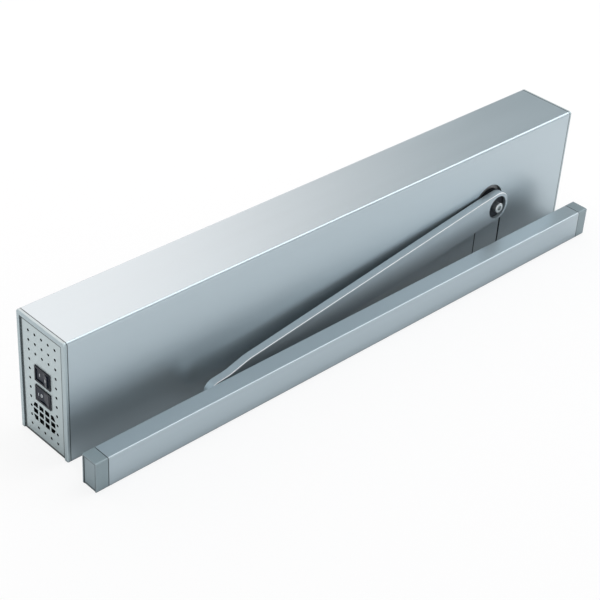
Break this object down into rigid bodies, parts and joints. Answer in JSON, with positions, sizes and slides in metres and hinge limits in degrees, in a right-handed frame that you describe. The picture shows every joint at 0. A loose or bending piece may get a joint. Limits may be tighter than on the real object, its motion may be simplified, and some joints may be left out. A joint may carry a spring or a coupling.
{
  "type": "swing door operator",
  "caption": "Long box-shaped door operator with a swing arm on its spindle, a slide channel for the door leaf, two rocker switches and a vent grille at one end.",
  "frame": {"origin": "middle of the casing's wall side, on the wall", "axes": "+Z away from the wall, +X along the casing away from the switches, -Y out of the spindle towards the door channel"},
  "size_m": [0.69, 0.118, 0.13],
  "materials": {
    "cover_metal": "satin",
    "frame_metal": "satin",
    "plate_metal": "satin",
    "steel_plate": "satin",
    "cast_metal": "matte",
    "gear_steel": "satin",
    "bearing_steel": "polished",
    "spring_steel": "satin",
    "arm_metal": "satin",
    "dark_steel": "satin",
    "channel_metal": "satin",
    "cap_plastic": "satin",
    "switch_plastic": "satin",
    "rocker_plastic": "satin",
    "slider_plastic": "satin",
    "tray_plastic": "matte",
    "board_laminate": "satin",
    "motor_metal": "satin",
    "screw_zinc": "satin"
  },
  "bodies": {
    "operator": {"mounting_plate": "steel_plate", "cover": "cover_metal", "cover_slot_insert": "cover_metal", "end_frame_left": "frame_metal", "end_frame_right": "frame_metal", "end_plate_left": "plate_metal", "end_plate_right": "plate_metal", "mains_switch_body": "switch_plastic", "programme_switch_body": "switch_plastic", "gearbox_body": "cast_metal", "gear_cover": "cast_metal", "cam_cover": "cast_metal", "case_screws": "dark_steel", "foot_screws": "dark_steel", "spindle_bearings": "bearing_steel", "lay_shaft_bushes": "bearing_steel", "motor_housing": "motor_metal", "motor_end_cap": "tray_plastic", "spring_tube": "cast_metal", "tube_saddles": "cast_metal", "tube_end_disc": "cast_metal", "spring_abutment": "gear_steel", "adjuster_screw": "dark_steel", "closer_spring": "spring_steel", "control_tray": "tray_plastic", "control_board": "board_laminate", "terminal_blocks": "switch_plastic", "board_components": "tray_plastic", "power_supply_case": "steel_plate"},
    "swing_arm": {"spindle": "bearing_steel", "output_gear": "gear_steel", "cam_disc": "gear_steel", "spindle_hub": "dark_steel", "arm": "arm_metal", "arm_washer": "dark_steel", "arm_screw": "screw_zinc"},
    "gear_shaft": {"lay_shaft": "bearing_steel", "middle_gear": "gear_steel", "lay_shaft_pinion": "gear_steel"},
    "motor_rotor_unit": {"motor_shaft": "bearing_steel", "motor_rotor": "motor_metal", "motor_pinion": "gear_steel"},
    "carriage": {"spring_carriage": "cast_metal", "roller_pin": "bearing_steel"},
    "roller": {"cam_roller": "bearing_steel"},
    "slider": {"slider_block": "slider_plastic", "slider_pin": "bearing_steel", "pin_clip": "dark_steel"},
    "channel": {"channel_rail": "channel_metal", "channel_cap_left": "cap_plastic", "channel_cap_right": "cap_plastic", "channel_fixing_left": "cast_metal", "channel_fixing_right": "cast_metal"},
    "mains_rocker_body": {"mains_rocker": "rocker_plastic"},
    "programme_rocker_body": {"programme_rocker": "rocker_plastic"}
  },
  "joints": [
    {"name": "arm_swing", "type": "hinge", "parent": "operator", "child": "swing_arm", "pos_m": [0.2195, 0, 0.0588], "axis": [0, 1, 0], "range_deg": [0, 125], "stiffness_Nm_per_rad": 12, "springref_deg": -57.3},
    {"name": "gear_shaft_spin", "type": "hinge", "parent": "operator", "child": "gear_shaft", "pos_m": [0.2735, 0, 0.0588], "axis": [0, 1, 0], "range_deg": [-625.5, 0.5]},
    {"name": "motor_spin", "type": "hinge", "parent": "operator", "child": "motor_rotor_unit", "pos_m": [0.3095, 0, 0.0588], "axis": [0, 1, 0], "range_deg": [-0.5, 3125.5]},
    {"name": "carriage_slide", "type": "slide", "parent": "operator", "child": "carriage", "axis": [-1, 0, 0], "range_m": [0, 0.0252], "deforming": ["closer_spring"]},
    {"name": "cam_roller_spin", "type": "hinge", "parent": "carriage", "child": "roller", "pos_m": [0.1925, 0.008, 0.0588], "axis": [0, 1, 0], "continuous": true},
    {"name": "slider_pivot", "type": "hinge", "parent": "swing_arm", "child": "slider", "pos_m": [-0.186, -0.06, 0.01625], "axis": [0, 1, 0], "continuous": true},
    {"name": "channel_slide", "type": "slide", "parent": "slider", "child": "channel", "axis": [1, 0, 0], "range_m": [-0.4695, 0.1125]},
    {"name": "mains_rocker_tilt", "type": "hinge", "parent": "operator", "child": "mains_rocker_body", "pos_m": [-0.3397, 0, 0.074], "axis": [0, 0, 1], "range_deg": [0, 16]},
    {"name": "programme_rocker_tilt", "type": "hinge", "parent": "operator", "child": "programme_rocker_body", "pos_m": [-0.3397, 0, 0.0524], "axis": [0, 0, 1], "range_deg": [-10, 10]}
  ],
  "couplings": [
    {"joint": "gear_shaft_spin", "follows": "arm_swing", "ratio": -5},
    {"joint": "motor_spin", "follows": "arm_swing", "ratio": 25},
    {"joint": "carriage_slide", "follows": "arm_swing", "m_per_rad": 0.0115}
  ]
}
